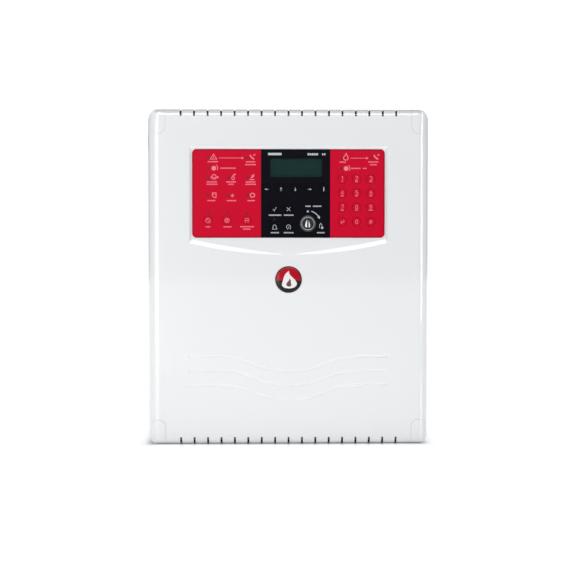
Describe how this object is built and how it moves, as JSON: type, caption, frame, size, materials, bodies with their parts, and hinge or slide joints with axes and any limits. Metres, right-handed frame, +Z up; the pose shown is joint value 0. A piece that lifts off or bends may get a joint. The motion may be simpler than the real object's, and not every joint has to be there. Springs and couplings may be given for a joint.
{
  "type": "fire alarm control panel",
  "caption": "Wall-mounted control panel: white case, hinged cover with red and black keypad, display and key switch, and inside it circuit boards, a power supply and standby batteries.",
  "frame": {"origin": "centre of the flat back face that lies against the wall", "axes": "+X to the right as seen from the front, +Y into the wall, +Z up; the front faces -Y"},
  "size_m": [0.327, 0.1115, 0.386],
  "materials": {
    "case_white": "satin",
    "cover_white": "gloss",
    "cap_white": "gloss",
    "arm_steel": "satin",
    "bright_steel": "polished",
    "zinc_steel": "satin",
    "sheet_print": "semi gloss",
    "window_lens": "gloss",
    "display_dark": "satin",
    "board_green": "satin",
    "switch_black": "matte",
    "lamp_red": "gloss",
    "switch_chrome": "polished",
    "plug_black": "gloss",
    "contact_red": "matte",
    "badge_red": "gloss",
    "key_black": "semi gloss",
    "key_red": "semi gloss",
    "parts_black": "satin",
    "terminal_green": "satin",
    "chassis_aluminium": "satin",
    "supply_brown": "satin",
    "terminal_white": "satin",
    "battery_grey": "matte",
    "strap_steel": "satin",
    "lead_red": "satin",
    "ribbon_grey": "satin"
  },
  "bodies": {
    "case": {"rear_base": "case_white", "hinge_pins": "bright_steel", "main_board": "board_green", "case_screws": "zinc_steel", "main_board_parts": "parts_black", "terminal_strips": "terminal_green", "power_supply_chassis": "chassis_aluminium", "power_supply_board": "supply_brown", "mains_terminal": "terminal_white", "battery_left": "battery_grey", "battery_right": "battery_grey", "battery_strap": "strap_steel", "battery_leads": "lead_red", "ribbon_cable": "ribbon_grey"},
    "cover": {"front_cover": "cover_white", "hinge_arm_top": "arm_steel", "hinge_arm_bottom": "arm_steel", "hinge_arm_screws": "zinc_steel", "cover_screws": "zinc_steel", "keypad_overlay": "sheet_print", "display_window": "window_lens", "lcd_module": "display_dark", "panel_board": "board_green", "panel_board_screws": "zinc_steel", "tact_switches": "switch_black", "status_leds": "lamp_red", "buzzer": "switch_black", "access_switch_body": "switch_chrome", "access_switch_nut": "bright_steel", "access_switch_contacts": "contact_red", "badge": "badge_red"},
    "access_switch_plug": {"access_switch_plug": "plug_black"},
    "cap_top_left": {"cap_top_left": "cap_white"},
    "cap_top_right": {"cap_top_right": "cap_white"},
    "cap_bottom_left": {"cap_bottom_left": "cap_white"},
    "cap_bottom_right": {"cap_bottom_right": "cap_white"},
    "key_left": {"key_left": "key_black"},
    "key_up": {"key_up": "key_black"},
    "key_down": {"key_down": "key_black"},
    "key_right": {"key_right": "key_black"},
    "key_info": {"key_info": "key_black"},
    "key_confirm": {"key_confirm": "key_black"},
    "key_cancel": {"key_cancel": "key_black"},
    "key_buzzer_off": {"key_buzzer_off": "key_black"},
    "key_reset": {"key_reset": "key_black"},
    "key_test": {"key_test": "key_red"},
    "key_delay": {"key_delay": "key_red"},
    "key_evacuate": {"key_evacuate": "key_red"},
    "key_1": {"key_1": "key_red"},
    "key_2": {"key_2": "key_red"},
    "key_3": {"key_3": "key_red"},
    "key_4": {"key_4": "key_red"},
    "key_5": {"key_5": "key_red"},
    "key_6": {"key_6": "key_red"},
    "key_7": {"key_7": "key_red"},
    "key_8": {"key_8": "key_red"},
    "key_9": {"key_9": "key_red"},
    "key_back": {"key_back": "key_red"},
    "key_0": {"key_0": "key_red"},
    "key_hash": {"key_hash": "key_red"}
  },
  "joints": [
    {"name": "cover_hinge", "type": "hinge", "parent": "case", "child": "cover", "pos_m": [-0.162, -0.0641, 0], "axis": [0, 0, -1], "range_deg": [0, 115], "deforming": ["ribbon_cable"]},
    {"name": "access_switch_turn", "type": "hinge", "parent": "cover", "child": "access_switch_plug", "pos_m": [0.0223, -0.108, 0.0616], "axis": [0, 1, 0], "range_deg": [0, 90]},
    {"name": "cap_top_left_pull", "type": "slide", "parent": "cover", "child": "cap_top_left", "axis": [0, -1, 0], "range_m": [0, 0.022]},
    {"name": "cap_top_right_pull", "type": "slide", "parent": "cover", "child": "cap_top_right", "axis": [0, -1, 0], "range_m": [0, 0.022]},
    {"name": "cap_bottom_left_pull", "type": "slide", "parent": "cover", "child": "cap_bottom_left", "axis": [0, -1, 0], "range_m": [0, 0.022]},
    {"name": "cap_bottom_right_pull", "type": "slide", "parent": "cover", "child": "cap_bottom_right", "axis": [0, -1, 0], "range_m": [0, 0.022]},
    {"name": "key_left_press", "type": "slide", "parent": "cover", "child": "key_left", "axis": [0, 1, 0], "range_m": [0, 0.0005], "stiffness_N_per_m": 2000},
    {"name": "key_up_press", "type": "slide", "parent": "cover", "child": "key_up", "axis": [0, 1, 0], "range_m": [0, 0.0005], "stiffness_N_per_m": 2000},
    {"name": "key_down_press", "type": "slide", "parent": "cover", "child": "key_down", "axis": [0, 1, 0], "range_m": [0, 0.0005], "stiffness_N_per_m": 2000},
    {"name": "key_right_press", "type": "slide", "parent": "cover", "child": "key_right", "axis": [0, 1, 0], "range_m": [0, 0.0005], "stiffness_N_per_m": 2000},
    {"name": "key_info_press", "type": "slide", "parent": "cover", "child": "key_info", "axis": [0, 1, 0], "range_m": [0, 0.0005], "stiffness_N_per_m": 2000},
    {"name": "key_confirm_press", "type": "slide", "parent": "cover", "child": "key_confirm", "axis": [0, 1, 0], "range_m": [0, 0.0005], "stiffness_N_per_m": 2000},
    {"name": "key_cancel_press", "type": "slide", "parent": "cover", "child": "key_cancel", "axis": [0, 1, 0], "range_m": [0, 0.0005], "stiffness_N_per_m": 2000},
    {"name": "key_buzzer_off_press", "type": "slide", "parent": "cover", "child": "key_buzzer_off", "axis": [0, 1, 0], "range_m": [0, 0.0005], "stiffness_N_per_m": 2000},
    {"name": "key_reset_press", "type": "slide", "parent": "cover", "child": "key_reset", "axis": [0, 1, 0], "range_m": [0, 0.0005], "stiffness_N_per_m": 2000},
    {"name": "key_test_press", "type": "slide", "parent": "cover", "child": "key_test", "axis": [0, 1, 0], "range_m": [0, 0.0005], "stiffness_N_per_m": 2000},
    {"name": "key_delay_press", "type": "slide", "parent": "cover", "child": "key_delay", "axis": [0, 1, 0], "range_m": [0, 0.0005], "stiffness_N_per_m": 2000},
    {"name": "key_evacuate_press", "type": "slide", "parent": "cover", "child": "key_evacuate", "axis": [0, 1, 0], "range_m": [0, 0.0005], "stiffness_N_per_m": 2000},
    {"name": "key_1_press", "type": "slide", "parent": "cover", "child": "key_1", "axis": [0, 1, 0], "range_m": [0, 0.0005], "stiffness_N_per_m": 2000},
    {"name": "key_2_press", "type": "slide", "parent": "cover", "child": "key_2", "axis": [0, 1, 0], "range_m": [0, 0.0005], "stiffness_N_per_m": 2000},
    {"name": "key_3_press", "type": "slide", "parent": "cover", "child": "key_3", "axis": [0, 1, 0], "range_m": [0, 0.0005], "stiffness_N_per_m": 2000},
    {"name": "key_4_press", "type": "slide", "parent": "cover", "child": "key_4", "axis": [0, 1, 0], "range_m": [0, 0.0005], "stiffness_N_per_m": 2000},
    {"name": "key_5_press", "type": "slide", "parent": "cover", "child": "key_5", "axis": [0, 1, 0], "range_m": [0, 0.0005], "stiffness_N_per_m": 2000},
    {"name": "key_6_press", "type": "slide", "parent": "cover", "child": "key_6", "axis": [0, 1, 0], "range_m": [0, 0.0005], "stiffness_N_per_m": 2000},
    {"name": "key_7_press", "type": "slide", "parent": "cover", "child": "key_7", "axis": [0, 1, 0], "range_m": [0, 0.0005], "stiffness_N_per_m": 2000},
    {"name": "key_8_press", "type": "slide", "parent": "cover", "child": "key_8", "axis": [0, 1, 0], "range_m": [0, 0.0005], "stiffness_N_per_m": 2000},
    {"name": "key_9_press", "type": "slide", "parent": "cover", "child": "key_9", "axis": [0, 1, 0], "range_m": [0, 0.0005], "stiffness_N_per_m": 2000},
    {"name": "key_back_press", "type": "slide", "parent": "cover", "child": "key_back", "axis": [0, 1, 0], "range_m": [0, 0.0005], "stiffness_N_per_m": 2000},
    {"name": "key_0_press", "type": "slide", "parent": "cover", "child": "key_0", "axis": [0, 1, 0], "range_m": [0, 0.0005], "stiffness_N_per_m": 2000},
    {"name": "key_hash_press", "type": "slide", "parent": "cover", "child": "key_hash", "axis": [0, 1, 0], "range_m": [0, 0.0005], "stiffness_N_per_m": 2000}
  ]
}
